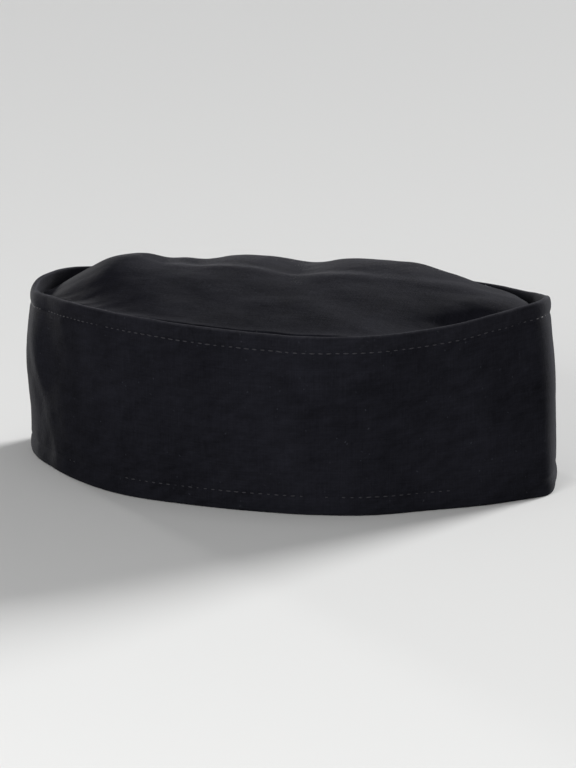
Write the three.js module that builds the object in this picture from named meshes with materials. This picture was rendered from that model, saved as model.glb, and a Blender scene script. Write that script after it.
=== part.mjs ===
import * as THREE from 'three'

// A soft pillbox cap of black cotton, in millimetres: hem on z = 0, +X along the longer way of the head.
// Bearings are degrees round the cap as seen from above, 0 at +X and 90 at +Y.

const SECTIONS = 88
const END_CROWDING = 0.66

const WALL = 2.4
const HEM_ROW = 7
const RIM_ROW = 6
const SEAM_DEPTH = 7
const EDGE_ROUND = 0.8
const PINCH = 0.35
const PUFF = 0.35
const BELLY_RISE = 1.5

const CROWN_CLOTH = 1.3
const SEAM_GAP = 0.35
const ALLOWANCE = 6
const TURN_DROP = 0.4
const SEAM_CALM = 0.12
const CROWN_CENTRE = 75.5

const BLACK_COTTON = 0x1b1b20
const BLACK_CROWN = 0x202025
const CLOTH_ROUGHNESS = 0.95

// The band's plan and height. hem: radius of the bottom edge; lean: how far the top edge stands out past
// the hem; belly: how far the wall swells outward between them; top: height of the top edge.
const BAND_ROWS = [
  { bearing: 3, hem: 103.2, lean: -3.8, belly: 1.1, top: 70.8 },
  { bearing: 12, hem: 99, lean: -3.8, belly: 0.5, top: 68.6 },
  { bearing: 25, hem: 89, lean: -2, belly: 0.5, top: 67.3 },
  { bearing: 40, hem: 83, lean: -1.5, belly: 0.5, top: 66.3 },
  { bearing: 60, hem: 79, lean: -1, belly: 1, top: 66 },
  { bearing: 90, hem: 77, lean: 0, belly: 1, top: 66 },
  { bearing: 120, hem: 81, lean: 0, belly: 1, top: 65.5 },
  { bearing: 140, hem: 90, lean: 0.5, belly: 1, top: 65.3 },
  { bearing: 152, hem: 100, lean: 0.5, belly: 1, top: 66.2 },
  { bearing: 162, hem: 108, lean: 0.5, belly: 1.5, top: 68 },
  { bearing: 172, hem: 110, lean: 0, belly: 2.4, top: 67.3 },
  { bearing: 182, hem: 107, lean: -1, belly: 2.4, top: 66 },
  { bearing: 190, hem: 101.5, lean: -0.5, belly: 1.9, top: 66.5 },
  { bearing: 200, hem: 94, lean: -1, belly: 0.5, top: 67.4 },
  { bearing: 215, hem: 87, lean: -1, belly: 0, top: 68.3 },
  { bearing: 235, hem: 81.3, lean: -1, belly: 0, top: 68.5 },
  { bearing: 255, hem: 76.2, lean: 0, belly: 0.5, top: 67.8 },
  { bearing: 275, hem: 76.8, lean: 0.5, belly: 0.5, top: 67 },
  { bearing: 290, hem: 81, lean: 1, belly: 0.5, top: 66.4 },
  { bearing: 305, hem: 86.2, lean: 1, belly: 0.5, top: 66.6 },
  { bearing: 320, hem: 89.5, lean: 0, belly: 0, top: 67.8 },
  { bearing: 335, hem: 98.7, lean: -2.8, belly: 0, top: 70.6 },
  { bearing: 342, hem: 103.6, lean: -4.2, belly: 0.2, top: 71.8 },
  { bearing: 347.5, hem: 108.3, lean: -5.4, belly: 1.1, top: 72.9 },
  { bearing: 351, hem: 107.9, lean: -4.4, belly: 1.5, top: 73.3 },
  { bearing: 356, hem: 105.4, lean: -3.4, belly: 1.5, top: 72.8 },
]

// Soft folds in the band, each a straight line on its face from one bearing and height to another.
// push: outward at the middle of the line; reach: half width.
const BAND_FOLDS = [
  { bearing: 256, low: 35, toBearing: 280, high: 10, reach: 6, push: 1.2 },
  { bearing: 276, low: 48, toBearing: 292, high: 32, reach: 5, push: 0.7 },
  { bearing: 240, low: 14, toBearing: 254, high: 10, reach: 7, push: 0.6 },
  { bearing: 212, low: 20, toBearing: 220, high: 9, reach: 6, push: 0.6 },
  { bearing: 186, low: 46, toBearing: 199, high: 18, reach: 5, push: -0.7 },
  { bearing: 193, low: 42, toBearing: 201, high: 12, reach: 7, push: 1 },
  { bearing: 205, low: 36, toBearing: 211, high: 14, reach: 7, push: 0.5 },
]

// The crown's height along lines from its middle out to the seam.
// The columns are its heights at 45, 70, 82, 92 and 96.5 hundredths of the way.
const CROWN_ROWS = [
  { bearing: 350, z45: 73.8, z70: 72.3, z82: 70.8, z92: 68.8, z96: 67.3 },
  { bearing: 12, z45: 74.4, z70: 72.7, z82: 70.5, z92: 67.8, z96: 64.3 },
  { bearing: 40, z45: 75.2, z70: 73.5, z82: 70.5, z92: 66, z96: 62.3 },
  { bearing: 65, z45: 75.5, z70: 73.3, z82: 70.5, z92: 65.5, z96: 61.9 },
  { bearing: 95, z45: 75.4, z70: 73, z82: 70, z92: 65, z96: 61.6 },
  { bearing: 135, z45: 75.7, z70: 73.8, z82: 70.5, z92: 64.5, z96: 61 },
  { bearing: 160, z45: 76, z70: 75.5, z82: 71, z92: 64.5, z96: 62.3 },
  { bearing: 178, z45: 76.3, z70: 76.3, z82: 71, z92: 65, z96: 61.9 },
  { bearing: 200, z45: 75.4, z70: 73.5, z82: 70.6, z92: 67.6, z96: 66.4 },
  { bearing: 230, z45: 73.1, z70: 70.6, z82: 69.2, z92: 68, z96: 67.5 },
  { bearing: 270, z45: 72.4, z70: 69.6, z82: 68.1, z92: 66.9, z96: 66.3 },
  { bearing: 305, z45: 72.1, z70: 69.4, z82: 67.7, z92: 66.3, z96: 65.7 },
  { bearing: 328, z45: 73.1, z70: 70.2, z82: 67.6, z92: 65.4, z96: 64.4 },
]

// Soft folds in the crown, each a straight line in plan. lift: upward at its middle; reach: half width.
const CROWN_FOLDS = [
  { x: -62, y: 4, toX: 92, toY: -4, reach: 6, lift: 1.1 },
  { x: -72, y: -25, toX: -66, toY: 30, reach: 12, lift: 1.1 },
  { x: -55, y: 0, toX: -62, toY: 42, reach: 6, lift: -1.9 },
  { x: -40, y: 0, toX: -50, toY: 52, reach: 9, lift: -1.7 },
  { x: -23, y: 6, toX: -32, toY: 54, reach: 9, lift: 0.2 },
  { x: 0, y: -2, toX: -8, toY: 60, reach: 11, lift: -2.8 },
  { x: 25, y: 12, toX: 18, toY: 52, reach: 13, lift: 0.9 },
  { x: 46, y: 6, toX: 40, toY: 46, reach: 12, lift: 1.6 },
  { x: 64, y: -2, toX: 56, toY: 34, reach: 8, lift: 0.6 },
  { x: 2, y: -8, toX: -18, toY: -56, reach: 8, lift: -0.8 },
  { x: -50, y: -24, toX: -36, toY: -56, reach: 9, lift: 0.6 },
  { x: 66, y: -50, toX: 86, toY: -25, reach: 5, lift: -4.5 },
  { x: 58, y: -42, toX: 80, toY: -14, reach: 5, lift: 0.8 },
]

const FOLD_FADE = 0.3

function smoothStep(t) {
  const clamped = Math.min(1, Math.max(0, t))
  return clamped * clamped * (3 - 2 * clamped)
}

// A smooth closed curve through one column of a table whose rows are placed by bearing.
function columnAround(rows, column) {
  const count = rows.length
  const sorted = [...rows].sort((a, b) => a.bearing - b.bearing)
  const bearingAt = (i) => sorted[((i % count) + count) % count].bearing + 360 * Math.floor(i / count)
  const valueAt = (i) => sorted[((i % count) + count) % count][column]
  const slopeAt = (i) => (valueAt(i + 1) - valueAt(i - 1)) / (bearingAt(i + 1) - bearingAt(i - 1))
  return (bearing) => {
    let turn = ((bearing % 360) + 360) % 360
    if (turn < sorted[0].bearing) turn += 360
    let row = 0
    while (bearingAt(row + 1) <= turn) row += 1
    const span = bearingAt(row + 1) - bearingAt(row)
    const t = (turn - bearingAt(row)) / span
    const start = (1 + 2 * t) * (1 - t) ** 2 * valueAt(row) + t * (1 - t) ** 2 * span * slopeAt(row)
    const end = t * t * (3 - 2 * t) * valueAt(row + 1) - t * t * (1 - t) * span * slopeAt(row + 1)
    return start + end
  }
}

const hemRadius = columnAround(BAND_ROWS, 'hem')
const rimLean = columnAround(BAND_ROWS, 'lean')
const wallBelly = columnAround(BAND_ROWS, 'belly')
const rimHeight = columnAround(BAND_ROWS, 'top')

// Strength, from 0 to 1, of a straight fold at a point: full on its line, fading to the sides and the ends.
function foldStrength(px, py, ax, ay, bx, by, reach) {
  const length = Math.hypot(bx - ax, by - ay)
  const along = ((px - ax) * (bx - ax) + (py - ay) * (by - ay)) / (length * length)
  const aside = Math.abs((px - ax) * (by - ay) - (py - ay) * (bx - ax)) / length
  const start = smoothStep((along + FOLD_FADE) / (2 * FOLD_FADE))
  const end = smoothStep((1 + FOLD_FADE - along) / (2 * FOLD_FADE))
  return Math.exp(-((aside / reach) ** 2)) * start * end
}

function bandFolds(bearing, z) {
  let push = 0
  for (const fold of BAND_FOLDS) {
    const perDegree = (hemRadius(fold.bearing) * Math.PI) / 180
    let turn = ((bearing - fold.bearing + 540) % 360) - 180
    const toTurn = ((fold.toBearing - fold.bearing + 540) % 360) - 180
    turn *= perDegree
    push += fold.push * foldStrength(turn, z, 0, fold.low, toTurn * perDegree, fold.high, fold.reach)
  }
  const openness = smoothStep((z - HEM_ROW) / 8) * smoothStep((rimHeight(bearing) - RIM_ROW - z) / 8)
  return push * openness
}

// A point of the band's outer face in plan, at a bearing and a height.
function wallPlan(bearing, z) {
  const rise = Math.min(1, z / rimHeight(bearing))
  const swell = wallBelly(bearing) * Math.sin(Math.PI * rise ** BELLY_RISE) ** 2
  const radius = hemRadius(bearing) + rimLean(bearing) * smoothStep(rise) + swell + bandFolds(bearing, z)
  const turn = (bearing * Math.PI) / 180
  return new THREE.Vector2(radius * Math.cos(turn), radius * Math.sin(turn))
}

// The same point moved outward, square to the face, by `out` millimetres.
function wallPoint(bearing, z, out) {
  const here = wallPlan(bearing, z)
  const before = wallPlan(bearing - 1.5, z)
  const after = wallPlan(bearing + 1.5, z)
  const tangent = after.sub(before).normalize()
  return new THREE.Vector3(here.x + tangent.y * out, here.y - tangent.x * out, z)
}

const bearings = Array.from({ length: SECTIONS }, (_, index) => {
  const turn = (2 * Math.PI * index) / SECTIONS
  return (Math.atan2(END_CROWDING * Math.sin(turn), Math.cos(turn)) * 180) / Math.PI
})

// Heights and swellings of the band's wall from the hem up to the rim, pinched in at the two stitch rows.
function wallLevels(top) {
  const low = [
    { z: EDGE_ROUND, out: 0 },
    { z: HEM_ROW / 2, out: PUFF },
    { z: HEM_ROW - 1, out: 0 },
    { z: HEM_ROW, out: -PINCH },
    { z: HEM_ROW + 1.2, out: 0 },
  ]
  const high = [
    { z: top - RIM_ROW - 1.2, out: 0 },
    { z: top - RIM_ROW, out: -PINCH },
    { z: top - RIM_ROW + 1, out: 0 },
    { z: top - RIM_ROW / 2, out: PUFF },
    { z: top - EDGE_ROUND, out: 0 },
  ]
  const from = HEM_ROW + 1.2
  const span = top - RIM_ROW - 1.2 - from
  const steps = 7
  const middle = Array.from({ length: steps - 1 }, (_, index) => {
    const z = from + (span * (index + 1)) / steps
    return { z, out: 0 }
  })
  return [...low, ...middle, ...high]
}

function bandSection(bearing) {
  const top = rimHeight(bearing)
  const levels = wallLevels(top)
  const outer = levels.map(({ z, out }) => wallPoint(bearing, z, out))
  const inner = levels.map(({ z, out }) => wallPoint(bearing, z, -WALL - Math.min(out, 0) * 0.6))
  return [
    wallPoint(bearing, 0, -EDGE_ROUND * 0.6),
    ...outer,
    wallPoint(bearing, top, -EDGE_ROUND),
    wallPoint(bearing, top, -WALL + EDGE_ROUND),
    ...inner.reverse(),
    wallPoint(bearing, 0, -WALL + EDGE_ROUND * 0.6),
  ]
}

// Joins the sections, each a closed ring of points, into one closed skin right round the cap.
function tubeGeometry(sections) {
  const positions = []
  const faces = []
  const perSection = sections[0].length
  for (const section of sections) {
    for (const point of section) positions.push(point.x, point.y, point.z)
  }
  sections.forEach((_, s) => {
    const next = (s + 1) % sections.length
    for (let i = 0; i < perSection; i += 1) {
      const j = (i + 1) % perSection
      const a = s * perSection + i
      const b = s * perSection + j
      const c = next * perSection + j
      const d = next * perSection + i
      faces.push(a, d, c, a, c, b)
    }
  })
  return indexedGeometry(positions, faces)
}

function indexedGeometry(positions, faces) {
  const geometry = new THREE.BufferGeometry()
  geometry.setAttribute('position', new THREE.Float32BufferAttribute(positions, 3))
  geometry.setIndex(faces)
  geometry.computeVertexNormals()
  return geometry
}

const SEAM_WAYS = [0.985, 0.96, 0.92, 0.87, 0.82, 0.76, 0.68, 0.58, 0.46, 0.33, 0.18]
const CROWN_WAYS = { z45: 0.45, z70: 0.7, z82: 0.82, z92: 0.92, z96: 0.965 }
const crownColumns = Object.keys(CROWN_WAYS).map((column) => columnAround(CROWN_ROWS, column))

function seamHeight(bearing) {
  return rimHeight(bearing) - SEAM_DEPTH
}

// The crown's height at a share of the way out from its middle to the seam.
function crownHeight(bearing, way, x, y) {
  const ways = [0, ...Object.values(CROWN_WAYS), 1]
  const between = crownColumns.map((column) => column(bearing))
  const heights = [CROWN_CENTRE, ...between, seamHeight(bearing)]
  const slopes = ways.map((_, i) => {
    if (i === 0) return 0
    const last = Math.min(i + 1, ways.length - 1)
    return (heights[last] - heights[i - 1]) / (ways[last] - ways[i - 1])
  })
  // The crown stays nearly level up to its last column and only then turns down to the seam.
  const edge = ways.length - 2
  slopes[edge] = (heights[edge] - heights[edge - 1]) / (ways[edge] - ways[edge - 1])
  let i = 0
  while (i < ways.length - 2 && way > ways[i + 1]) i += 1
  const span = ways[i + 1] - ways[i]
  const t = (way - ways[i]) / span
  const start = (1 + 2 * t) * (1 - t) ** 2 * heights[i] + t * (1 - t) ** 2 * span * slopes[i]
  const end = t * t * (3 - 2 * t) * heights[i + 1] - t * t * (1 - t) * span * slopes[i + 1]
  let z = start + end
  const calm = smoothStep((1 - way) / SEAM_CALM)
  for (const fold of CROWN_FOLDS) {
    z += fold.lift * calm * foldStrength(x, y, fold.x, fold.y, fold.toX, fold.toY, fold.reach)
  }
  return z
}

function crownPoint(bearing, way) {
  const seam = wallPoint(bearing, seamHeight(bearing), -WALL - SEAM_GAP)
  const x = seam.x * way
  const y = seam.y * way
  return new THREE.Vector3(x, y, crownHeight(bearing, way, x, y))
}

// One closed shell: the crown's face, its turned-down seam allowance and the underside one cloth below it.
function crownGeometry() {
  const positions = []
  const faces = []
  const faceRings = SEAM_WAYS.map((way) => bearings.map((bearing) => crownPoint(bearing, way)))
  const underRings = faceRings.map((ring, r) =>
    ring.map((point, s) => {
      const side = ring[(s + 1) % SECTIONS].clone().sub(ring[(s + SECTIONS - 1) % SECTIONS])
      const inner = r + 1 < faceRings.length ? faceRings[r + 1][s] : new THREE.Vector3(0, 0, CROWN_CENTRE)
      const outer = r > 0 ? faceRings[r - 1][s] : point
      const inward = inner.clone().sub(outer)
      const up = side.cross(inward).normalize()
      return point.clone().addScaledVector(up, -CROWN_CLOTH)
    }),
  )
  const seamSide = -WALL - SEAM_GAP
  const headSide = seamSide - CROWN_CLOTH
  const low = bearings.map((b) => wallPoint(b, seamHeight(b) - ALLOWANCE, seamSide))
  const lowInner = bearings.map((b) => wallPoint(b, seamHeight(b) - ALLOWANCE, headSide))
  const turn = bearings.map((b) => wallPoint(b, seamHeight(b) - TURN_DROP, seamSide))
  const turnDepth = TURN_DROP + CROWN_CLOTH + 0.5
  const turnInner = bearings.map((b) => wallPoint(b, seamHeight(b) - turnDepth, headSide))
  const rings = [low, turn, ...faceRings]
  const under = [lowInner, turnInner, ...underRings]
  for (const ring of [...rings, ...under]) {
    for (const point of ring) positions.push(point.x, point.y, point.z)
  }
  const at = (ring, s) => ring * SECTIONS + (s % SECTIONS)
  const middleTop = positions.length / 3
  positions.push(0, 0, CROWN_CENTRE)
  const middleUnder = middleTop + 1
  positions.push(0, 0, CROWN_CENTRE - CROWN_CLOTH)
  const count = rings.length
  for (let s = 0; s < SECTIONS; s += 1) {
    for (let r = 0; r + 1 < count; r += 1) {
      faces.push(at(r, s), at(r, s + 1), at(r + 1, s + 1), at(r, s), at(r + 1, s + 1), at(r + 1, s))
      const u = r + count
      faces.push(at(u, s), at(u + 1, s + 1), at(u, s + 1), at(u, s), at(u + 1, s), at(u + 1, s + 1))
    }
    faces.push(at(count - 1, s), at(count - 1, s + 1), middleTop)
    faces.push(at(2 * count - 1, s + 1), at(2 * count - 1, s), middleUnder)
    faces.push(at(0, s + 1), at(0, s), at(count, s), at(0, s + 1), at(count, s), at(count, s + 1))
  }
  return indexedGeometry(positions, faces)
}

function clothPiece(name, geometry, colour) {
  const finish = { color: colour, roughness: CLOTH_ROUGHNESS, metalness: 0 }
  const material = new THREE.MeshStandardMaterial(finish)
  const mesh = new THREE.Mesh(geometry, material)
  mesh.name = name
  return mesh
}

const group = new THREE.Group()
group.name = 'kippah'
group.add(clothPiece('band', tubeGeometry(bearings.map(bandSection)), BLACK_COTTON))
group.add(clothPiece('crown', crownGeometry(), BLACK_CROWN))

// The origin is the middle of the cap's plan, on the hem.
const middle = new THREE.Box3().setFromObject(group).getCenter(new THREE.Vector3())
for (const piece of group.children) piece.geometry.translate(-middle.x, -middle.y, 0)

export default group
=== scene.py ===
import math

import bpy
import numpy as np
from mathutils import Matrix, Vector, noise


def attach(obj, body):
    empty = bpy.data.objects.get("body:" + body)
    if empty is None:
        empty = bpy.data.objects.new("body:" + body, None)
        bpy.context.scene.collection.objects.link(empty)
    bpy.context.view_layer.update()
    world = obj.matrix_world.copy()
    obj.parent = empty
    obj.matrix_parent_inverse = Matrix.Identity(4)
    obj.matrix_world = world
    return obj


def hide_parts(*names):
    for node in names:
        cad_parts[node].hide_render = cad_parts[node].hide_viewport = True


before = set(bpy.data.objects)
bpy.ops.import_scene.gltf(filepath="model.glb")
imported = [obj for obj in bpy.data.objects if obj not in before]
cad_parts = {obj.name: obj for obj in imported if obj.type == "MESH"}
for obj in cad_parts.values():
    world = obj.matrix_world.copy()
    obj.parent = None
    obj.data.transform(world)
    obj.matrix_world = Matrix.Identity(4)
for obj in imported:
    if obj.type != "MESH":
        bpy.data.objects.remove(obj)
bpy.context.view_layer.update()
bpy.ops.object.select_all(action="DESELECT")

# The band: the cap's upright wall, 575 mm round, of one long strip of black brushed cotton folded
# double. The bottom edge is turned up into a hem, and the top edge stands free as a rim above the
# crown's seam. Topstitching, 7 mm from the hem and 6 mm from the rim, pinches the layers together.

# Sizes are in mm. END_CROWDING packs the mesh towards the cap's two pointed ends, and PLAN_SHIFT is
# where the middle of the cap's own plan lies in the frame.
MM = 0.001
ROUND_LENGTH = 575
WALL = 2.4
HEM_ROW = 7.0
RIM_ROW = 6.0
EDGE_ROUND = 0.8
PINCH = 0.4
PUFF = 0.35
BELLY_RISE = 1.5
END_CROWDING = 0.66
PLAN_SHIFT = (2.294, 0.17)

# Bearing in degrees, then in mm the hem's radius, the rim's lean, the wall's belly and rim height.
BAND_COLUMNS = ("bearing", "hem", "lean", "belly", "top")
BAND_ROWS = (
    (3, 103.2, -3.8, 1.1, 70.8),
    (12, 99, -3.8, 0.5, 68.6),
    (25, 89, -2, 0.5, 67.3),
    (40, 83, -1.5, 0.5, 66.3),
    (60, 79, -1, 1, 66),
    (90, 77, 0, 1, 66),
    (120, 81, 0, 1, 65.5),
    (140, 90, 0.5, 1, 65.3),
    (152, 100, 0.5, 1, 66.2),
    (162, 108, 0.5, 1.5, 68),
    (172, 110, 0, 2.4, 67.3),
    (182, 107, -1, 2.4, 66),
    (190, 101.5, -0.5, 1.9, 66.5),
    (200, 94, -1, 0.5, 67.4),
    (215, 87, -1, 0, 68.3),
    (235, 81.3, -1, 0, 68.5),
    (255, 76.2, 0, 0.5, 67.8),
    (275, 76.8, 0.5, 0.5, 67),
    (290, 81, 1, 0.5, 66.4),
    (305, 86.2, 1, 0.5, 66.6),
    (320, 89.5, 0, 0, 67.8),
    (335, 98.7, -2.8, 0, 70.6),
    (342, 103.6, -4.2, 0.2, 71.8),
    (347.5, 108.3, -5.4, 1.1, 72.9),
    (351, 107.9, -4.4, 1.5, 73.3),
    (356, 105.4, -3.4, 1.5, 72.8),
)

# Soft folds in the band: bearing and height at each end, half width, push outward.
BAND_FOLDS = (
    (256, 35, 280, 10, 6, 1.2),
    (276, 48, 292, 32, 5, 0.7),
    (240, 14, 254, 10, 7, 0.6),
    (212, 20, 220, 9, 6, 0.6),
    (186, 46, 199, 18, 5, -0.7),
    (193, 42, 201, 12, 7, 1),
    (205, 36, 211, 14, 7, 0.5),
)
FOLD_FADE = 0.3
FOLD_OPENING = 8.0


def smooth_step(share):
    share = np.clip(share, 0, 1)
    return share * share * (3 - 2 * share)


def between(share, span, start, end, start_slope, end_slope):
    """A smooth curve from one knot to the next, `span` away, at a share of the way."""
    leaving = (1 + 2 * share) * (1 - share) ** 2 * start
    leaving = leaving + share * (1 - share) ** 2 * span * start_slope
    arriving = share * share * (3 - 2 * share) * end
    arriving = arriving - share * share * (1 - share) * span * end_slope
    return leaving + arriving


def column_around(rows, column):
    """A smooth closed curve through one column of a table whose first column is the bearing."""
    bearings = np.array([row[0] for row in sorted(rows)], float)
    values = np.array([row[column] for row in sorted(rows)], float)
    bearings = np.concatenate([bearings[-2:] - 360, bearings, bearings[:2] + 360])
    values = np.concatenate([values[-2:], values, values[:2]])
    slopes = np.zeros(len(values))
    slopes[1:-1] = (values[2:] - values[:-2]) / (bearings[2:] - bearings[:-2])

    def at(bearing):
        turn = np.mod(bearing, 360)
        row = np.searchsorted(bearings, turn, side="right") - 1
        span = bearings[row + 1] - bearings[row]
        share = (turn - bearings[row]) / span
        return between(share, span, values[row], values[row + 1], slopes[row], slopes[row + 1])

    return at


hem_radius, rim_lean, wall_belly, rim_height = (
    column_around(BAND_ROWS, BAND_COLUMNS.index(name)) for name in BAND_COLUMNS[1:]
)


def along_and_aside(x, y, start, end):
    """A point's share of the way along a straight line, and how far it is to the line's right."""
    run = np.subtract(end, start)
    length = np.hypot(*run)
    along = ((x - start[0]) * run[0] + (y - start[1]) * run[1]) / length**2
    aside = ((x - start[0]) * run[1] - (y - start[1]) * run[0]) / length
    return along, aside


def fold_strength(x, y, start, end, reach):
    """From 0 to 1: full on a straight fold's line, fading to its sides and past its ends."""
    along, aside = along_and_aside(x, y, start, end)
    near_end = smooth_step((along + FOLD_FADE) / (2 * FOLD_FADE))
    far_end = smooth_step((1 + FOLD_FADE - along) / (2 * FOLD_FADE))
    return np.exp(-((aside / reach) ** 2)) * near_end * far_end


def turn_from(start, bearing):
    """The turn from one bearing to another, between -180 and 180 degrees."""
    return np.mod(bearing - start + 180, 360) - 180


def band_folds(bearing, height):
    """The folds' push outward, which opens from nothing at the two stitch rows."""
    push = 0
    for start, low, end, high, reach, out in BAND_FOLDS:
        per_degree = hem_radius(start) * math.pi / 180
        place = turn_from(start, bearing) * per_degree
        run = turn_from(start, end) * per_degree
        push = push + out * fold_strength(place, height, (0, low), (run, high), reach)
    open_low = smooth_step((height - HEM_ROW) / FOLD_OPENING)
    open_high = smooth_step((rim_height(bearing) - RIM_ROW - height) / FOLD_OPENING)
    return push * open_low * open_high


def even_turn(bearing):
    """A bearing as an even turn round the strip, in degrees."""
    angle = np.radians(bearing)
    return np.degrees(np.arctan2(np.sin(angle) / END_CROWDING, np.cos(angle)))


def crowded_bearing(turn):
    """The other way: even turns, in radians, as bearings that crowd at the cap's pointed ends."""
    return np.degrees(np.arctan2(END_CROWDING * np.sin(turn), np.cos(turn)))


def plan_point(bearing, radius):
    turn = np.radians(bearing)
    return np.stack([radius * np.cos(turn), radius * np.sin(turn)], -1)


def lengths_along(points):
    """How far along a path each of its points is."""
    steps = np.linalg.norm(np.diff(points, axis=0), axis=1)
    return np.concatenate([[0], np.cumsum(steps)])


def waves_along(length, seed):
    """A smooth random curve round the cap, between about -1 and 1, of one wavelength in mm."""
    turns = np.arange(ROUND_LENGTH) / ROUND_LENGTH * 2 * math.pi
    radius = ROUND_LENGTH / (2 * math.pi * length)
    ring = [Vector((math.cos(turn) * radius, math.sin(turn) * radius, seed)) for turn in turns]
    return np.array([2 * noise.noise(place) for place in ring])


# Lengths round the cap, along a line half way up the wall's lean.
even_bearings = np.linspace(0, 360, ROUND_LENGTH + 1)
middle_radius = hem_radius(even_bearings) + 0.5 * rim_lean(even_bearings)
round_lengths = lengths_along(plan_point(even_bearings, middle_radius))


def around(curve, bearing):
    """Reads a curve of even steps round the cap at a bearing."""
    place = np.interp(np.mod(bearing, 360), even_bearings, round_lengths)
    place = place / round_lengths[-1] * len(curve)
    return np.interp(place, np.arange(len(curve) + 1), np.append(curve, curve[0]))


rim_waver = waves_along(45, seed=3.3)
rim_flutter = waves_along(13, seed=8.1)
RIM_WAVER = 0.3
RIM_FLUTTER = 0.1


def rim_top(bearing):
    """The rim's height, with the slight waver of a sewn edge."""
    waver = RIM_WAVER * around(rim_waver, bearing)
    return rim_height(bearing) + waver + RIM_FLUTTER * around(rim_flutter, bearing)


def rim_row(bearing):
    """The height of the stitch row below the rim."""
    return rim_top(bearing) - RIM_ROW


# How far the eased cloth of the wall stands out, by height between the stitch rows and by turn.
RIPPLE_ROUND = 200
RIPPLE_UP = 20
ripple = np.zeros((RIPPLE_UP + 1, RIPPLE_ROUND))


def wall_ripple(bearing, height):
    up = np.clip((height - HEM_ROW) / (rim_row(bearing) - HEM_ROW), 0, 1) * RIPPLE_UP
    turn = np.mod(even_turn(bearing) / 360 * RIPPLE_ROUND, RIPPLE_ROUND)
    row, column = np.minimum(up.astype(int), RIPPLE_UP - 1), turn.astype(int) % RIPPLE_ROUND
    following = (column + 1) % RIPPLE_ROUND
    rise, onward = up - row, turn - turn.astype(int)
    low = ripple[row, column] * (1 - onward) + ripple[row, following] * onward
    high = ripple[row + 1, column] * (1 - onward) + ripple[row + 1, following] * onward
    return low * (1 - rise) + high * rise


rim_pucker = waves_along(7.5, seed=1.7)
hem_pucker = waves_along(8.5, seed=5.2)
RIM_PUCKER = 0.2
HEM_PUCKER = 0.22
PUCKER_REACH = 5.0
HEM_CALM = 3.0


def wall_puckers(bearing, height):
    """Small tucks that the two stitch rows draw into the cloth."""
    near_rim_row = np.exp(-np.abs(height - rim_row(bearing)) / PUCKER_REACH)
    near_hem_row = np.exp(-np.abs(height - HEM_ROW) / PUCKER_REACH)
    drawn = RIM_PUCKER * around(rim_pucker, bearing) * near_rim_row
    drawn = drawn + HEM_PUCKER * around(hem_pucker, bearing) * near_hem_row
    return drawn * smooth_step(height / HEM_CALM)


BACK_SEAM = 97.0
BACK_DIP = 0.8
BACK_DIP_WIDE = 1.1
BACK_DOUBLING = 0.4
BACK_DOUBLING_WIDE = 7.0


def back_seam(bearing):
    """The join of the strip's two ends: a dip between two strips doubled by the turnings."""
    aside = turn_from(BACK_SEAM, bearing) * hem_radius(BACK_SEAM) * math.pi / 180
    doubling = BACK_DOUBLING * np.exp(-((aside / BACK_DOUBLING_WIDE) ** 4))
    return doubling - BACK_DIP * np.exp(-((aside / BACK_DIP_WIDE) ** 2))


def wall_plan(bearing, height):
    """Where the band's outer face is, in plan, at a bearing and a height."""
    rise = np.minimum(1, height / rim_top(bearing))
    swell = wall_belly(bearing) * np.sin(math.pi * rise**BELLY_RISE) ** 2
    radius = hem_radius(bearing) + rim_lean(bearing) * smooth_step(rise) + swell
    return plan_point(bearing, radius + band_folds(bearing, height))


NORMAL_STEP = 1.5


def wall_normal(bearing, height):
    run = wall_plan(bearing + NORMAL_STEP, height) - wall_plan(bearing - NORMAL_STEP, height)
    run = run / np.linalg.norm(run, axis=-1, keepdims=True)
    return np.stack([run[..., 1], -run[..., 0]], -1)


def wall_point(bearing, height, out):
    """A point `out` millimetres outside the band's outer face, in metres, as the frame has it."""
    out = out + wall_ripple(bearing, height) + wall_puckers(bearing, height)
    plan = wall_plan(bearing, height) + wall_normal(bearing, height) * out[..., None]
    plan = plan + PLAN_SHIFT
    return np.concatenate([plan, height[..., None]], -1) * MM


def points_of(data):
    places = np.empty(len(data.vertices) * 3)
    data.vertices.foreach_get("co", places)
    return places.reshape(-1, 3)


LOOP_STEP = 0.01


def rolled_strip(round_count, loop_count):
    """A plain upright tube; returns it with each point's place, its loop and its even turn."""
    bpy.ops.mesh.primitive_circle_add(vertices=round_count, radius=0.1, fill_type="NOTHING")
    strip = bpy.context.object
    bpy.ops.object.mode_set(mode="EDIT")
    for _ in range(loop_count - 1):
        bpy.ops.mesh.extrude_region_move(TRANSFORM_OT_translate={"value": (0, 0, LOOP_STEP)})
    bpy.ops.object.mode_set(mode="OBJECT")
    places = points_of(strip.data)
    loop = np.rint(places[:, 2] / LOOP_STEP).astype(int)
    return strip, places, loop, np.arctan2(places[:, 1], places[:, 0])


def unevenness(places, scale):
    """Smooth noise at each place, between -1 and 1."""
    return np.array([noise.noise(Vector(place * scale)) for place in places])


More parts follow.
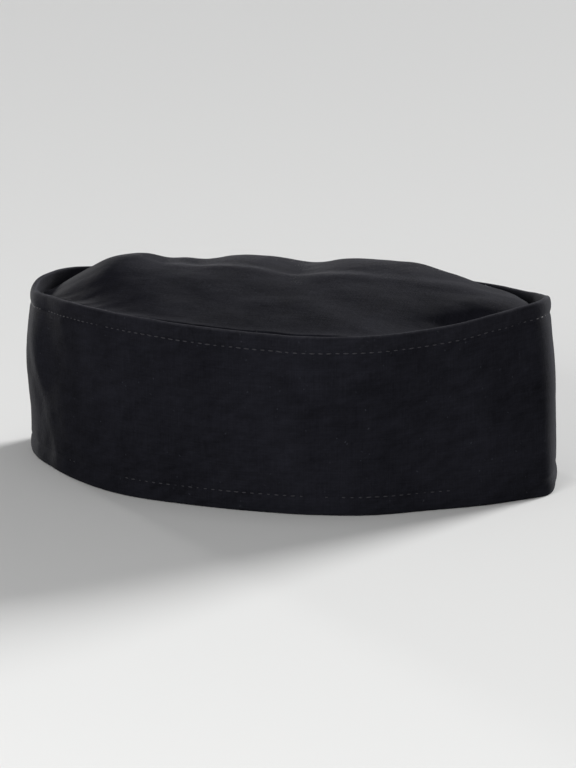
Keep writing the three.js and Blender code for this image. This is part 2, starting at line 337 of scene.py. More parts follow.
def ease(sheet, sewn, as_cut, frames):
    """Lets cloth that was cut a little larger than its seams settle; returns each point's move."""
    start = points_of(sheet.data)
    held = sheet.vertex_groups.new(name="sewn")
    held.add([int(i) for i in np.flatnonzero(sewn)], 1.0, "REPLACE")
    sheet.shape_key_add(name="sewn")
    cut_shape = sheet.shape_key_add(name="cut")
    cut_shape.data.foreach_set("co", as_cut.ravel())
    cloth = sheet.modifiers.new("ease", "CLOTH")
    cloth.settings.quality = 6
    cloth.settings.mass = 0.15
    cloth.settings.tension_stiffness = cloth.settings.compression_stiffness = 30
    cloth.settings.shear_stiffness = 8
    cloth.settings.bending_stiffness = 0.6
    cloth.settings.vertex_group_mass = "sewn"
    cloth.settings.rest_shape_key = cut_shape
    cloth.settings.effector_weights.gravity = 0
    cloth.point_cache.frame_end = frames
    for moment in range(1, frames + 1):
        bpy.context.scene.frame_set(moment)
    settled = sheet.evaluated_get(bpy.context.evaluated_depsgraph_get()).data
    moved = points_of(settled) - start
    bpy.context.scene.frame_set(1)
    bpy.data.objects.remove(sheet)
    return moved


def blurred(field, reach, closed):
    """Smooths a grid of values; `closed` says that its columns run round and meet."""
    span = int(3 * reach)
    weights = np.exp(-((np.arange(-span, span + 1) / reach) ** 2) / 2)
    weights /= weights.sum()
    field = np.pad(field, ((0, 0), (span, span)), mode="wrap" if closed else "edge")
    field = np.apply_along_axis(np.convolve, 1, field, weights, mode="valid")
    field = np.pad(field, ((span, span), (0, 0)), mode="edge")
    return np.apply_along_axis(np.convolve, 0, field, weights, mode="valid")


def fine_waves(field, fine, coarse, most, closed):
    """Keeps the waves between two reaches, in steps of the grid, and none higher than `most`."""
    field = blurred(field, fine, closed) - blurred(field, coarse, closed)
    return most * np.tanh(field / most)


# The wall's outer layer between its two stitch rows, eased as cloth, gives the band its soft waves.
# It is cut a little taller and prouder than it is sewn, askew at the rim, and starts uneven.
EASE_FRAMES = 24
CUT_ASKEW = 0.9
CUT_TALLER = 1.006
CUT_PROUD = 0.25
WALL_UNEVEN = 0.3
RIPPLE_MOST = 0.9
RIPPLE_RISE = 2
sheet, places, row, turn = rolled_strip(RIPPLE_ROUND, RIPPLE_UP + 1)
column = np.rint(np.degrees(turn) / 360 * RIPPLE_ROUND).astype(int) % RIPPLE_ROUND
bearing = crowded_bearing(turn)
share = row / RIPPLE_UP
height = HEM_ROW + share * (rim_row(bearing) - HEM_ROW)
free = (row > 0) & (row < RIPPLE_UP)
uneven = WALL_UNEVEN * unevenness(places, scale=60) * free
sheet.data.vertices.foreach_set("co", wall_point(bearing, height, uneven).ravel())
proud = CUT_PROUD * np.sin(math.pi * share)
as_cut = wall_point(bearing + CUT_ASKEW * share, height * CUT_TALLER, proud)
moved = ease(sheet, ~free, as_cut, EASE_FRAMES)
outward = np.sum(moved[:, :2] * wall_normal(bearing, height), axis=1) / MM
eased = np.zeros_like(ripple)
eased[row, column] = outward + uneven
from_stitches = np.minimum(np.arange(RIPPLE_UP + 1), RIPPLE_UP - np.arange(RIPPLE_UP + 1))
opened = smooth_step(from_stitches / RIPPLE_RISE)[:, None]
ripple[:] = fine_waves(eased, fine=0.8, coarse=6, most=RIPPLE_MOST, closed=True) * opened

# The section of the wall, as a closed loop: up the outer face, over the rim and down the inner
# face. A level is a distance from the hem, the rim or a stitch row, and its swelling outward.
# Inside, the hem's turning ends 10 mm up, where the wall steps back to fewer layers.
HEM_LEVELS = ((EDGE_ROUND, 0), (2.2, 0.3), (3.6, PUFF), (5.2, 0.2), (6.3, -0.1), (HEM_ROW, -PINCH))
RIM_LEVELS = tuple((depth * RIM_ROW / HEM_ROW, out) for depth, out in reversed(HEM_LEVELS))
ROW_LEVELS = ((0.8, -0.1), (2.0, 0), (3.2, 0), (4.6, 0))
OPEN_STEPS = 13
TURNING = 10.0
TURNING_STEP = 0.5
TURNING_EDGE = 0.8
RIM_FULL = 4.0
INNER_PINCH = 0.6
LIP_DROP, LIP_IN = 0.15, 0.35
HEM_LIP = 0.6 * EDGE_ROUND


def wall_levels(top):
    """Heights and swellings of one face from the hem up, for rims of the given heights."""
    low = [(np.full_like(top, z), out) for z, out in HEM_LEVELS]
    low += [(np.full_like(top, HEM_ROW + z), out) for z, out in ROW_LEVELS]
    high = [(top - RIM_ROW - z, out) for z, out in reversed(ROW_LEVELS)]
    high += [(top - depth, out) for depth, out in RIM_LEVELS]
    start, end = low[-1][0], high[0][0]
    middle = [(start + (end - start) * step / OPEN_STEPS, 0) for step in range(1, OPEN_STEPS)]
    return low + middle + high


def section_levels(top):
    """Heights and offsets from the outer face, right round the wall's section."""
    zero = np.zeros_like(top)
    outer, inner = [], []
    for z, out in wall_levels(top):
        outer.append((z, out + zero))
        thinner = TURNING_STEP * smooth_step((z - TURNING + TURNING_EDGE / 2) / TURNING_EDGE)
        thinner = thinner * smooth_step((top - z) / RIM_FULL)
        inner.append((z, -WALL - INNER_PINCH * min(out, 0) + thinner))
    lip = [(LIP_DROP, -LIP_IN), (0, -EDGE_ROUND)]
    lip += [(0, -WALL + EDGE_ROUND), (LIP_DROP, -WALL + LIP_IN)]
    rim = [(top - depth, out + zero) for depth, out in lip]
    hem = [(zero, zero - WALL + HEM_LIP), (zero, zero - HEM_LIP)]
    return outer + rim + inner[::-1] + hem


BAND_ROUND = 240
MIDDLE_TOP = np.array([67.0])
band, _, level, turn = rolled_strip(BAND_ROUND, len(section_levels(MIDDLE_TOP)))
band.name = "band_cloth"
bpy.ops.object.mode_set(mode="EDIT")
bpy.ops.mesh.select_all(action="DESELECT")
bpy.ops.mesh.select_non_manifold()
bpy.ops.mesh.bridge_edge_loops()
bpy.ops.object.mode_set(mode="OBJECT")

# Within 9 degrees of the back seam the mesh closes up, so that the narrow dip is smooth. The dip
# shows on the outer face and on the outer half of the rim.
SEAM_NEAR = 9.0
SEAM_CROWDING = 1.7
bearing = crowded_bearing(turn)
from_seam = turn_from(BACK_SEAM, bearing)
nearness = np.minimum(np.abs(from_seam), SEAM_NEAR) / SEAM_NEAR
drawn_in = np.sign(from_seam) * SEAM_NEAR * nearness**SEAM_CROWDING
bearing = np.where(np.abs(from_seam) < SEAM_NEAR, BACK_SEAM + drawn_in, bearing)
section = section_levels(rim_top(bearing))
each = np.arange(len(level))
height = np.stack([z for z, _ in section])[level, each]
out = np.stack([offset for _, offset in section])[level, each]
outside = level < len(wall_levels(MIDDLE_TOP)) + 2
placed = wall_point(bearing, height, out + back_seam(bearing) * outside)
band.data.vertices.foreach_set("co", placed.ravel())

# The cloth's own map runs round the band and then up and over it, both in shares of 600 mm.
MAP_SPAN = 600.0
MAP_HEIGHT = 30.0
MAP_TRACE = 720


def cloth_map_of(piece):
    layer = piece.data.uv_layers.active or piece.data.uv_layers.new(name="cloth")
    layer.name = "cloth"
    return layer


loop_bearings = np.linspace(-180, 180, MAP_TRACE + 1)
loop_lengths = lengths_along(wall_plan(loop_bearings, np.full_like(loop_bearings, MAP_HEIGHT)))
up_lengths = lengths_along(np.array(section_levels(MIDDLE_TOP))[:, :, 0])
round_at = np.interp(bearing, loop_bearings, loop_lengths) / MAP_SPAN
up_at = up_lengths[level] / MAP_SPAN
whole_round = loop_lengths[-1] / MAP_SPAN
whole_up = (up_lengths[-1] + WALL) / MAP_SPAN
cloth_map = cloth_map_of(band)
for face in band.data.polygons:
    corners = [band.data.loops[i].vertex_index for i in face.loop_indices]
    rounds, ups = round_at[corners], up_at[corners]
    rounds = np.where(rounds.max() - rounds > whole_round / 2, rounds + whole_round, rounds)
    ups = np.where(ups.max() - ups > whole_up / 2, ups + whole_up, ups)
    for i, u, v in zip(face.loop_indices, rounds, ups):
        cloth_map.data[i].uv = (u, v)


def soften(piece):
    """Points a piece's faces outwards and rounds it by one subdivision."""
    bpy.ops.object.mode_set(mode="EDIT")
    bpy.ops.mesh.select_all(action="SELECT")
    bpy.ops.mesh.normals_make_consistent(inside=False)
    bpy.ops.object.mode_set(mode="OBJECT")
    smoothing = piece.modifiers.new("soft cloth", "SUBSURF")
    smoothing.levels = smoothing.render_levels = 1
    bpy.ops.object.modifier_apply(modifier=smoothing.name)


def rumple(piece, sizes, freedom):
    """Moves a piece's points along their normals by smooth noise: (wavelength, height) in mm."""
    places = points_of(piece.data)
    normals = np.empty(places.size)
    piece.data.vertices.foreach_get("normal", normals)
    push = np.zeros(len(places))
    for wavelength, tall in sizes:
        scale = 1 / (wavelength * MM)
        push += tall * MM * np.array([noise.noise(Vector(place) * scale) for place in places])
    push *= freedom(places / MM)
    moved = places + normals.reshape(-1, 3) * push[:, None]
    piece.data.vertices.foreach_set("co", moved.ravel())


BAND_RUMPLES = ((14, 0.14), (5, 0.07))
HEM_REST, HEM_REST_FADE = 0.5, 3.0


def band_freedom(places):
    """The hem stays flat where it rests; the rest of the wall may rumple."""
    return smooth_step((places[:, 2] - HEM_REST) / HEM_REST_FADE)


soften(band)
rumple(band, BAND_RUMPLES, band_freedom)


def new_material(name, **sockets):
    """A material with the given values on its shader; returns both."""
    made = bpy.data.materials.new(name)
    made.use_nodes = True
    skin = made.node_tree.nodes["Principled BSDF"]
    for key, value in sockets.items():
        skin.inputs[key.replace("_", " ")].default_value = value
    return made, skin


def add_node(material, kind, settings=(), **sockets):
    """Adds a node; each socket gets a value, or another node's output to read."""
    made = material.node_tree.nodes.new("ShaderNode" + kind)
    for key, value in dict(settings).items():
        setattr(made, key, value)
    for key, value in sockets.items():
        known = int(key[5:]) if key.startswith("input") else key.replace("_", " ")
        if isinstance(value, bpy.types.NodeSocket):
            material.node_tree.links.new(value, made.inputs[known])
        else:
            made.inputs[known].default_value = value
    return made


def mixed(material, share, low, high):
    """Mixes two colours, each a value or another node's output."""
    kind = {"data_type": "RGBA"}
    return add_node(material, "Mix", kind, Factor=share, A=low, B=high).outputs["Result"]


# How much each layer of the cotton's pattern shades it, with SHADE_START to bring their sum back to
# the middle, and how dark and how pale it gets.
DYE_DEPTH = 0.8
SLUB_DEPTH = 0.5
GRAIN_DEPTH = 0.45
SHADE_START = -0.725
DARKEST, PALEST = 0.45, 1.75
SLUB_LONG, SLUB_WIDE = 14, 0.5

# Lint lies in cells of the given length, width and turn, of which few hold a speck.
LINT_CELLS = ((6, 6, 0.3), (9, 6, 0.9), (11, 4, -0.6), (8, 5, 1.9))
LINT_RARITY = 14.0
LINT_COLOUR = (0.03, 0.031, 0.039, 1)
# The paler colour of rubbed edges, which along the rim also paints a highlight.
WEAR_AND_HIGHLIGHT_COLOUR = (0.037, 0.037, 0.044, 1)
WEAR_AND_HIGHLIGHT_LEAST, WEAR_AND_HIGHLIGHT_GRAIN = 0.1, 1.4
ROUGHNESS_LEAST, NAP_ROUGHNESS = 0.84, 0.15


def brushed_cotton(name, colour, nap, nap_depth):
    """Matt black cotton; `nap` is its strokes' length and width in mm and their turn on the cloth,
    and `nap_depth` is how strongly they shade it."""
    cloth, skin = new_material(
        name,
        Specular_IOR_Level=0.035,
        Sheen_Weight=0.01,
        Sheen_Roughness=0.35,
        Sheen_Tint=(0.8, 0.8, 0.95, 1),
    )
    links = cloth.node_tree.links

    def add(kind, settings=(), **sockets):
        return add_node(cloth, kind, settings, **sockets)

    def reckon(operation, first, second, third=0.0):
        kind = {"operation": operation}
        return add("Math", kind, input0=first, input1=second, input2=third).outputs[0]

    def laid(long, wide, turn):
        """The cloth's map with a unit of the given length and width in mm, turned on the cloth."""
        size = (long / MAP_SPAN, wide / MAP_SPAN, 1)
        kind = {"vector_type": "TEXTURE"}
        return add("Mapping", kind, Vector=on_cloth, Scale=size, Rotation=(0, 0, turn)).outputs[0]

    def streaks(long, wide, turn):
        place = laid(long, wide, turn)
        return add("TexNoise", Vector=place, Scale=1.0, Detail=3.0, Roughness=0.6).outputs[0]

    places = add("TexCoord").outputs["Object"]
    on_cloth = add("UVMap", {"uv_map": "cloth"}).outputs[0]

    # Uneven dye in patches of 30 mm, strokes of the nap, slubs in the yarn, grain of the nap.
    dye = add("TexNoise", Vector=places, Scale=33.0, Detail=3.0, Roughness=0.55).outputs[0]
    grain = add("TexNoise", Vector=places, Scale=700.0, Detail=3.0, Roughness=0.7).outputs[0]
    strokes = streaks(*nap)
    warp, weft = streaks(SLUB_LONG, SLUB_WIDE, 0.0), streaks(SLUB_WIDE, SLUB_LONG, 0.0)
    slubs = reckon("ADD", warp, weft)
    layers = ((dye, DYE_DEPTH), (strokes, nap_depth), (slubs, SLUB_DEPTH), (grain, GRAIN_DEPTH))
    shade = SHADE_START - 0.5 * nap_depth
    for pattern, depth in layers:
        shade = reckon("MULTIPLY_ADD", pattern, depth, shade)
    dark = (*[part * DARKEST for part in colour], 1)
    pale = (*[part * PALEST for part in colour], 1)
    dyed = mixed(cloth, shade, dark, pale)

    # Lint: rare specks and short fibres, lying every way.
    lint = 0.0
    for long, wide, turn in LINT_CELLS:
        kind = {"voronoi_dimensions": "2D"}
        cells = add("TexVoronoi", kind, Vector=laid(long, wide, turn), Scale=1.0)
        speck = add("MapRange", Value=cells.outputs["Distance"], From_Min=0.06, From_Max=0.02)
        chance = add("SeparateColor", Color=cells.outputs["Color"]).outputs[0]
        chance = reckon("POWER", chance, LINT_RARITY)
        lint = reckon("MULTIPLY_ADD", speck.outputs[0], chance, lint)
    linted = mixed(cloth, lint, dyed, LINT_COLOUR)

    # Paler along the folded edges, most where the nap's grain stands up: rubbed paler at the hem,
    # and rubbed paler with a painted highlight along the rim.
    wear_and_highlight_share = add("Attribute", {"attribute_name": "edge_wear_and_highlight"}).outputs["Fac"]
    wear_and_highlight_share = reckon("MULTIPLY", wear_and_highlight_share, reckon("MULTIPLY_ADD", grain, WEAR_AND_HIGHLIGHT_GRAIN, WEAR_AND_HIGHLIGHT_LEAST))
    rough = reckon("MULTIPLY_ADD", strokes, NAP_ROUGHNESS, ROUGHNESS_LEAST)
    links.new(mixed(cloth, wear_and_highlight_share, linted, WEAR_AND_HIGHLIGHT_COLOUR), skin.inputs["Base Color"])
    links.new(rough, skin.inputs["Roughness"])

    # The weave, about 22 threads to the centimetre each way, then the slubs and the nap over it:
    # each stands up by a strength and a height in metres.
    threads = add("Mapping", Vector=on_cloth, Scale=(MAP_SPAN, MAP_SPAN, 1)).outputs[0]
    weave = 0.0
    for direction in ("X", "Y"):
        kind = {"wave_type": "BANDS", "bands_direction": direction}
        yarn = add("TexWave", kind, Vector=threads, Scale=0.7, Distortion=1.2, Detail_Scale=0.6)
        weave = reckon("MULTIPLY_ADD", yarn.outputs["Fac"], 0.5, weave)
    reliefs = ((weave, 0.12, 0.0001), (slubs, 0.35, 0.0002), (grain, 0.4, 0.0003))
    under = {}
    for relief, strength, tall in reliefs:
        bump = add("Bump", Height=relief, Strength=strength, Distance=tall, **under).outputs[0]
        under = {"Normal": bump}
    links.new(bump, skin.inputs["Normal"])
    return cloth


# Marks where the cloth is painted paler: rubbed edges, with a painted highlight along the rim.
def mark_wear_and_highlight(piece, wear_and_highlight):
    marks = piece.data.attributes.new("edge_wear_and_highlight", "FLOAT", "POINT")
    marks.data.foreach_set("value", wear_and_highlight)


# Paler edges: a fine pale line along the rim, rubbed paler and with a painted highlight on it, a
# faint rubbed one along the hem, and a faint paler strip down to the stitch row below the rim. Each
# has its strength and its reach in mm.
RIM_WEAR_AND_HIGHLIGHT, RIM_WEAR_AND_HIGHLIGHT_REACH = 0.9, 0.4
HEM_WEAR, HEM_WEAR_REACH = 0.1, 0.9
ROW_PALING, ROW_PALING_REACH, ROW_PALING_FADE = 0.07, RIM_ROW + 0.5, 2.0
places = points_of(band.data) / MM
bearing = np.degrees(np.arctan2(places[:, 1] - PLAN_SHIFT[1], places[:, 0] - PLAN_SHIFT[0]))
below_rim = rim_top(bearing) - places[:, 2]
# The line along the rim is a painted highlight as well as rubbing.
wear_and_highlight = RIM_WEAR_AND_HIGHLIGHT * np.exp(-((below_rim / RIM_WEAR_AND_HIGHLIGHT_REACH) ** 2))
wear_and_highlight = wear_and_highlight + ROW_PALING * smooth_step((ROW_PALING_REACH - below_rim) / ROW_PALING_FADE)
wear_and_highlight = wear_and_highlight + HEM_WEAR * np.exp(-((places[:, 2] / HEM_WEAR_REACH) ** 2))
mark_wear_and_highlight(band, wear_and_highlight)

BAND_BLACK = (0.01, 0.0102, 0.0137)
BAND_NAP = (9, 3.5, 0.35)
band_cotton = brushed_cotton("band brushed cotton", BAND_BLACK, BAND_NAP, nap_depth=0.75)
band.data.materials.append(band_cotton)
bpy.ops.object.shade_smooth()
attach(band, "root")
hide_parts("band")
bpy.ops.object.select_all(action="DESELECT")

# The crown: one oval piece of the same cotton, sewn to the inside of the band 7 mm below the rim
# with its seam allowance turned down. It stands up a little by its own fullness, creased along the
# middle where the cap has been stored folded.
CROWN_CLOTH = 1.3
SEAM_DEPTH = 7.0
SEAM_GAP = 0.35
ALLOWANCE = 6.0
TURN_DROP = 0.4
SEAM_CALM = 0.12
CROWN_CENTRE = 75.5
CROWN_REACH = 80.0
EDGE_STEEPNESS = 4

# Bearing, then the crown's height at these shares of the way out to the seam.
CROWN_WAYS = (0.45, 0.7, 0.82, 0.92, 0.965)
CROWN_ROWS = (
    (350, 73.8, 72.3, 70.8, 68.8, 67.3),
    (12, 74.4, 72.7, 70.5, 67.8, 64.3),
    (40, 75.2, 73.5, 70.5, 66, 62.3),
    (65, 75.5, 73.3, 70.5, 65.5, 61.9),
    (95, 75.4, 73, 70, 65, 61.6),
    (135, 75.7, 73.8, 70.5, 64.5, 61),
    (160, 76, 75.5, 71, 64.5, 62.3),
    (178, 76.3, 76.3, 71, 65, 61.9),
    (200, 75.4, 73.5, 70.6, 67.6, 66.6),
    (230, 73.1, 70.6, 69.2, 68, 67.8),
    (270, 72.4, 69.6, 68.1, 66.9, 66.6),
    (305, 72.1, 69.4, 67.7, 66.3, 65.9),
    (328, 73.1, 70.2, 67.6, 65.4, 64.4),
)
crown_columns = [column_around(CROWN_ROWS, column) for column in range(1, len(CROWN_WAYS) + 1)]

# Soft folds in the crown, in plan: x and y at each end, half width, lift.
CROWN_FOLDS = (
    (-62, 4, 92, -4, 7, 0.9),
    (-72, -25, -66, 30, 12, 1.1),
    (-55, 0, -62, 42, 6, -1.9),
    (-40, 0, -50, 52, 9, -1.7),
    (-23, 6, -32, 54, 9, 0.2),
    (0, -2, -8, 60, 11, -2.8),
    (25, 12, 18, 52, 13, 0.9),
    (46, 6, 40, 46, 12, 1.6),
    (64, -2, 56, 34, 8, 0.6),
    (2, -8, -18, -56, 8, -0.8),
    (-50, -24, -36, -56, 9, 0.6),
    (66, -50, 86, -25, 5, -2.5),
    (58, -42, 80, -14, 5, 0.8),
)

# Small tucks that the seam gathers: depth, how far in they reach, and where they start.
seam_tucks = waves_along(8, seed=6.4)
TUCK_DEPTH = 0.22
TUCK_REACH = 9.0
TUCK_START = 3.0

# Where the crown tucks down behind the rim: its upper edge in plan, how deep it goes and over what
# width, the share that it gives back further out, and how its two ends fade.
POCKET = ((63, -39), (83, -20))
POCKET_DROP, DROP_WIDE, DROP_LEAD = 2.3, 1.8, 0.3
POCKET_RISE, RISE_START, RISE_WIDE = 0.7, 1.2, 8.0
POCKET_BEFORE, NEAR_FADE, FAR_FADE = 0.2, 0.5, 0.45


def pocket(x, y):
    """How deep the crown lies in the pocket: a short drop, a slow rise outward, soft ends."""
    along, past = along_and_aside(x, y, *POCKET)
    near_end = smooth_step((along + POCKET_BEFORE) / NEAR_FADE)
    ends = near_end * smooth_step((1 - along) / FAR_FADE)
    rising = 1 - POCKET_RISE * smooth_step((past - RISE_START) / RISE_WIDE)
    return POCKET_DROP * smooth_step(past / DROP_WIDE + DROP_LEAD) * rising * ends


def seam_height(bearing):
    return rim_top(bearing) - SEAM_DEPTH


def crown_height(bearing, way, x, y):
    """The crown's height; its last stretch, past the table's columns, turns down steeply."""
    ways = np.array([0, *CROWN_WAYS, 1])
    past_last = np.clip((way - CROWN_WAYS[-1]) / (1 - CROWN_WAYS[-1]), 0, 1)
    way = way - (1 - CROWN_WAYS[-1]) * (past_last - past_last**EDGE_STEEPNESS)
    heights = [np.full_like(way, CROWN_CENTRE)]
    heights += [column(bearing) for column in crown_columns]
    heights = np.stack(heights + [seam_height(bearing)])
    slopes = np.zeros_like(heights)
    for i in range(1, len(ways)):
        last = min(i + 1, len(ways) - 1)
        slopes[i] = (heights[last] - heights[i - 1]) / (ways[last] - ways[i - 1])
    slopes[-2] = (heights[-2] - heights[-3]) / (ways[-2] - ways[-3])
    i = np.clip(np.searchsorted(ways, way, side="left") - 1, 0, len(ways) - 2)
    each = np.arange(len(way))
    span = ways[i + 1] - ways[i]
    share = (way - ways[i]) / span
    start, end = heights[i, each], heights[i + 1, each]
    height = between(share, span, start, end, slopes[i, each], slopes[i + 1, each])
    lift = 0
    for x0, y0, x1, y1, reach, tall in CROWN_FOLDS:
        lift = lift + tall * fold_strength(x, y, (x0, y0), (x1, y1), reach)
    lift = lift - pocket(x, y)
    from_seam = (1 - way) * CROWN_REACH
    tucks = TUCK_DEPTH * around(seam_tucks, bearing) * np.exp(-from_seam / TUCK_REACH)
    tucks = tucks * smooth_step(from_seam / TUCK_START)
    return height + lift * smooth_step((1 - way) / SEAM_CALM) + tucks


# An oval disc of a square grid, with four more loops that turn down as the seam allowance.
CROWN_GRID = 96
CROWN_NARROW = 0.71
MIDDLE_SCALE = 105.0
DROPS = (0, TURN_DROP, 2, 4, ALLOWANCE)
bpy.ops.mesh.primitive_grid_add(x_subdivisions=CROWN_GRID, y_subdivisions=CROWN_GRID, size=2)
crown = bpy.context.object
crown.name = "crown_cloth"
bpy.ops.object.mode_set(mode="EDIT")
bpy.ops.mesh.select_all(action="DESELECT")
bpy.ops.mesh.select_non_manifold()
for _ in DROPS[1:]:
    bpy.ops.mesh.extrude_region_move(TRANSFORM_OT_translate={"value": (0, 0, -1)})
bpy.ops.object.mode_set(mode="OBJECT")
places = points_of(crown.data)
u, v = places[:, 0], places[:, 1]
drop = np.rint(-places[:, 2]).astype(int)
disc_x, disc_y = u * np.sqrt(1 - v * v / 2), v * np.sqrt(1 - u * u / 2)
oval_x, oval_y = disc_x, disc_y * CROWN_NARROW
way, oval = np.hypot(disc_x, disc_y), np.hypot(oval_x, oval_y)
bearing = np.degrees(np.arctan2(oval_y, oval_x))
seam_z = seam_height(bearing)
beside_wall = np.full_like(bearing, -WALL - SEAM_GAP)
seam = wall_point(bearing, seam_z, beside_wall)[:, :2] / MM - PLAN_SHIFT
reach = np.hypot(seam[:, 0], seam[:, 1])
edge_oval = np.divide(oval, way, out=np.ones_like(oval), where=way > 1e-6)
blend = way**2
scale = MIDDLE_SCALE * (1 - blend) + reach / edge_oval * blend
x, y = oval_x * scale, oval_y * scale
share = np.hypot(x, y) / reach
z = crown_height(bearing, np.clip(share, 0, 1), x, y)
fall = np.array(DROPS)[drop]
turned = wall_point(bearing, seam_z - fall, beside_wall)
flat = np.stack([x + PLAN_SHIFT[0], y + PLAN_SHIFT[1], z], -1) * MM
placed = np.where((drop > 0)[:, None], turned, flat)
crown.data.vertices.foreach_set("co", placed.ravel())
crown.data.update()

# Eased as cloth: cut 0.5 per cent larger than its seam, held all round by it, and started uneven.
CROWN_EASE = 1.005
CROWN_HELD = 0.995
CROWN_UNEVEN = 0.4
CROWN_UNEVEN_END = 0.97
CROWN_WAVE_MOST = 0.12
CROWN_WAVE_END = 0.05
sheet = crown.copy()
sheet.data = crown.data.copy()
bpy.context.scene.collection.objects.link(sheet)
top = drop == 0
uneven = unevenness(placed, scale=70) * (way < CROWN_UNEVEN_END) * top
started = placed + np.outer(uneven, (0, 0, CROWN_UNEVEN * MM))
sheet.data.vertices.foreach_set("co", started.ravel())
as_cut = placed * (CROWN_EASE, CROWN_EASE, 1)
moved = ease(sheet, ~top | (way > CROWN_HELD), as_cut, EASE_FRAMES)
column = np.rint((u[top] + 1) / 2 * CROWN_GRID).astype(int)
row = np.rint((v[top] + 1) / 2 * CROWN_GRID).astype(int)
eased = np.zeros((CROWN_GRID + 1, CROWN_GRID + 1))
eased[row, column] = moved[top, 2] / MM + CROWN_UNEVEN * uneven[top]
eased = fine_waves(eased, fine=0.8, coarse=7, most=CROWN_WAVE_MOST, closed=False)
inward = smooth_step((1 - way[top]) / CROWN_WAVE_END)
placed[top, 2] += eased[row, column] * MM * inward
crown.data.vertices.foreach_set("co", placed.ravel())
bpy.context.view_layer.objects.active = crown

cloth_map = cloth_map_of(crown)
spread = 1 + fall / reach
for face in crown.data.polygons:
    for i in face.loop_indices:
        vertex = crown.data.loops[i].vertex_index
        across, along = x[vertex] * spread[vertex], y[vertex] * spread[vertex]
        cloth_map.data[i].uv = (across / MAP_SPAN + 0.5, along / MAP_SPAN + 0.5)


CROWN_RUMPLES = ((12, 0.06), (4.5, 0.06))
EDGE_CALM, EDGE_CALM_FADE = 60.0, 6.0


def crown_freedom(places):
    """The turned-down edge stays smooth; the crown above it may rumple."""
    return smooth_step((places[:, 2] - EDGE_CALM) / EDGE_CALM_FADE)


soften(crown)
rumple(crown, CROWN_RUMPLES, crown_freedom)
thickness = crown.modifiers.new("cloth thickness", "SOLIDIFY")
thickness.thickness = CROWN_CLOTH * MM
thickness.offset = -1
thickness.use_even_offset = True
bpy.ops.object.modifier_apply(modifier=thickness.name)

CROWN_BLACK = (0.0108, 0.011, 0.015)
CROWN_NAP = (26, 5, 1.35)
mark_wear_and_highlight(crown, np.zeros(len(crown.data.vertices)))
crown_cotton = brushed_cotton("crown brushed cotton", CROWN_BLACK, CROWN_NAP, nap_depth=0.4)
crown.data.materials.append(crown_cotton)
bpy.ops.object.shade_smooth()
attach(crown, "root")
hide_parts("crown")
bpy.ops.object.select_all(action="DESELECT")

# The topstitching: black sewing thread right round the band, in one row near the hem, which shows
# outside and inside, and one near the rim. The stitches are 3.1 mm apart, each bent down at its
# ends where it goes through the layers, and in places half hidden by the nap.
STITCH_PITCH = 3.1
STITCH_LONG = 2.3
STITCH_THICK = 0.52
STITCH_BEND = 0.22
STITCH_LEAN = 4
STITCH_DEEPEST = 0.13
STITCH_UNEVEN = 0.11
STITCH_AHEAD = 0.6
STITCH_TRACE = 2880
BURIED_LENGTH = 24
BACK_SUNK = 0.3
bpy.ops.mesh.primitive_uv_sphere_add(segments=6, ring_count=5, radius=1)
stitch = bpy.context.object
stitch_points = np.array([vertex.co for vertex in stitch.data.vertices])
stitch_faces = [list(face.vertices) for face in stitch.data.polygons]
bpy.ops.object.delete()
stitch_points = stitch_points[:, [2, 0, 1]] * (STITCH_LONG / 2, STITCH_THICK / 2, STITCH_THICK / 2)
stitch_points[:, 1] -= STITCH_BEND * (stitch_points[:, 0] / (STITCH_LONG / 2)) ** 2


def stitch_row(row_height, side_out, sunk):
    """Points and faces of a row; `sunk` is how deep the nap buries it, in places, at the front."""
    fine = np.linspace(0, 360, STITCH_TRACE + 1)
    path = wall_point(fine, row_height(fine), np.full(fine.shape, side_out)) / MM
    lengths = lengths_along(path)
    number = round(lengths[-1] / STITCH_PITCH)
    starts = (np.arange(number) + 0.5) * lengths[-1] / number
    draw = np.random.default_rng(number)
    buried = waves_along(BURIED_LENGTH, seed=side_out)
    facing = 1 if side_out > -WALL / 2 else -1

    def on_path(place):
        return np.array([np.interp(place, lengths, path[:, axis]) for axis in range(3)])

    points, faces = [], []
    for start in starts:
        middle = on_path(start)
        along = on_path(start + STITCH_AHEAD) - middle
        along = along / np.linalg.norm(along)
        turn = np.interp(start, lengths, fine)
        outward = np.append(wall_normal(turn, row_height(turn)), 0) * facing
        lean = math.radians(draw.normal(0, STITCH_LEAN))
        along = along * math.cos(lean) + np.cross(along, outward) * math.sin(lean)
        turned = np.stack([along, outward, np.cross(along, outward)])
        at_front = turn > 180
        hidden = sunk * (1 if at_front else BACK_SUNK)
        hidden = hidden * float(smooth_step(around(buried, turn) + 0.5))
        depth = draw.uniform(0, STITCH_DEEPEST) + hidden
        base = len(points)
        longer = stitch_points * (draw.normal(1, STITCH_UNEVEN), 1, 1)
        points += list((middle - outward * depth + longer @ turned) * MM)
        faces += [[base + i for i in face] for face in stitch_faces]
    return points, faces


THREAD_DARK = (0.016, 0.0155, 0.019, 1)
THREAD_PALE = (0.048, 0.047, 0.054, 1)
thread, thread_skin = new_material("black sewing thread", Roughness=0.55, Specular_IOR_Level=0.2)
thread_places = add_node(thread, "TexCoord").outputs["Object"]
twist = add_node(thread, "TexNoise", Vector=thread_places, Scale=2500).outputs["Fac"]
twisted = mixed(thread, twist, THREAD_DARK, THREAD_PALE)
thread.node_tree.links.new(twisted, thread_skin.inputs["Base Color"])


def hem_row(bearing):
    """The height of the stitch row above the hem."""
    return np.full_like(np.asarray(bearing, float), HEM_ROW)


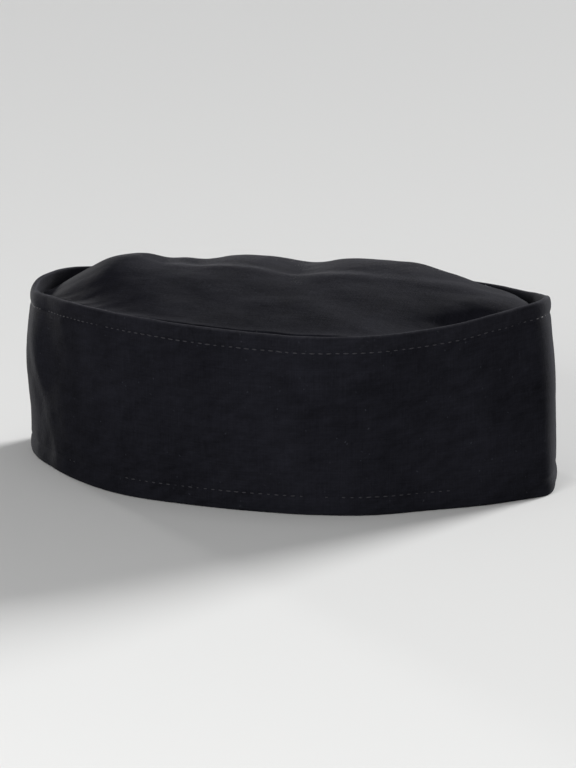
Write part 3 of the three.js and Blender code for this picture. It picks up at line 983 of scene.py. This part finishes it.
# Each row's height, its place outward from the wall's outer face, and how deep the nap buries it.
for name, row_height, side_out, sunk in (
    ("hem_stitches", hem_row, -PINCH + 0.06, 0.31),
    ("rim_stitches", rim_row, -PINCH + 0.18, 0.17),
    ("hem_stitches_inside", hem_row, -WALL + 0.2, 0.2),
):
    points, faces = stitch_row(row_height, side_out, sunk)
    row = bpy.data.meshes.new(name)
    row.from_pydata(points, [], faces)
    row.materials.append(thread)
    piece = bpy.data.objects.new(name, row)
    bpy.context.scene.collection.objects.link(piece)
    for face in row.polygons:
        face.use_smooth = True
    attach(piece, "root")

# The studio: a wide sheet of pale paper in a pale surround. A low key light behind to the right and
# a lower, weaker one behind to the left graze the crown and the rim, and two softboxes, overhead
# and in front, fill in.
bpy.ops.mesh.primitive_plane_add(size=14, location=(0, 0, 0))
floor = bpy.context.object
floor.name = "studio_floor"
paper, _ = new_material("pale studio paper", Base_Color=(0.74, 0.74, 0.73, 1), Roughness=0.9)
floor.data.materials.append(paper)

world = bpy.data.worlds.new("pale surround")
bpy.context.scene.world = world
world.use_nodes = True
world.node_tree.nodes["Background"].inputs["Color"].default_value = (0.96, 0.97, 1, 1)
world.node_tree.nodes["Background"].inputs["Strength"].default_value = 0.16
bpy.context.scene.view_settings.view_transform = "Standard"


def looking(direction):
    """The turn of a lamp or a camera that looks along a direction."""
    return direction.to_track_quat("-Z", "Y").to_euler()


for name, place, spread, power in (
    ("key light", (0.76, 1.38, 0.42), 18, 6.3),
    ("left light", (-1.09, 1.17, 0.06), 6, 2.6),
):
    bpy.ops.object.light_add(type="SUN", location=place)
    lamp = bpy.context.object
    lamp.name = name
    lamp.data.angle = math.radians(spread)
    lamp.data.energy = power
    lamp.rotation_euler = looking(-Vector(place))

CAP_MIDDLE = Vector((0, 0, 0.05))
for name, place, size, power in (
    ("overhead softbox", (0, 0, 2), 1, 4),
    ("front softbox", (-0.2, -1.5, 0.55), 0.6, 14),
):
    bpy.ops.object.light_add(type="AREA", location=place)
    lamp = bpy.context.object
    lamp.name = name
    lamp.data.size = size
    lamp.data.energy = power
    lamp.rotation_euler = looking(CAP_MIDDLE - Vector(place))

# The camera looks from the photo's side: 12 degrees above the table, 16 degrees round to the right.
AZIMUTH, ELEVATION, DISTANCE = math.radians(16), math.radians(12), 1.15
AIM = Vector((0.012294, -0.04183, 0.041))
to_right = math.sin(AZIMUTH) * math.cos(ELEVATION)
to_front = math.cos(AZIMUTH) * math.cos(ELEVATION)
towards_camera = Vector((to_right, -to_front, math.sin(ELEVATION)))
bpy.ops.object.camera_add(location=AIM + towards_camera * DISTANCE)
camera = bpy.context.object
camera.rotation_euler = looking(-towards_camera)
camera.data.lens = 144.4
camera.data.sensor_width = 36
camera.data.clip_start = 0.05
bpy.context.scene.camera = camera

bpy.context.view_layer.update()
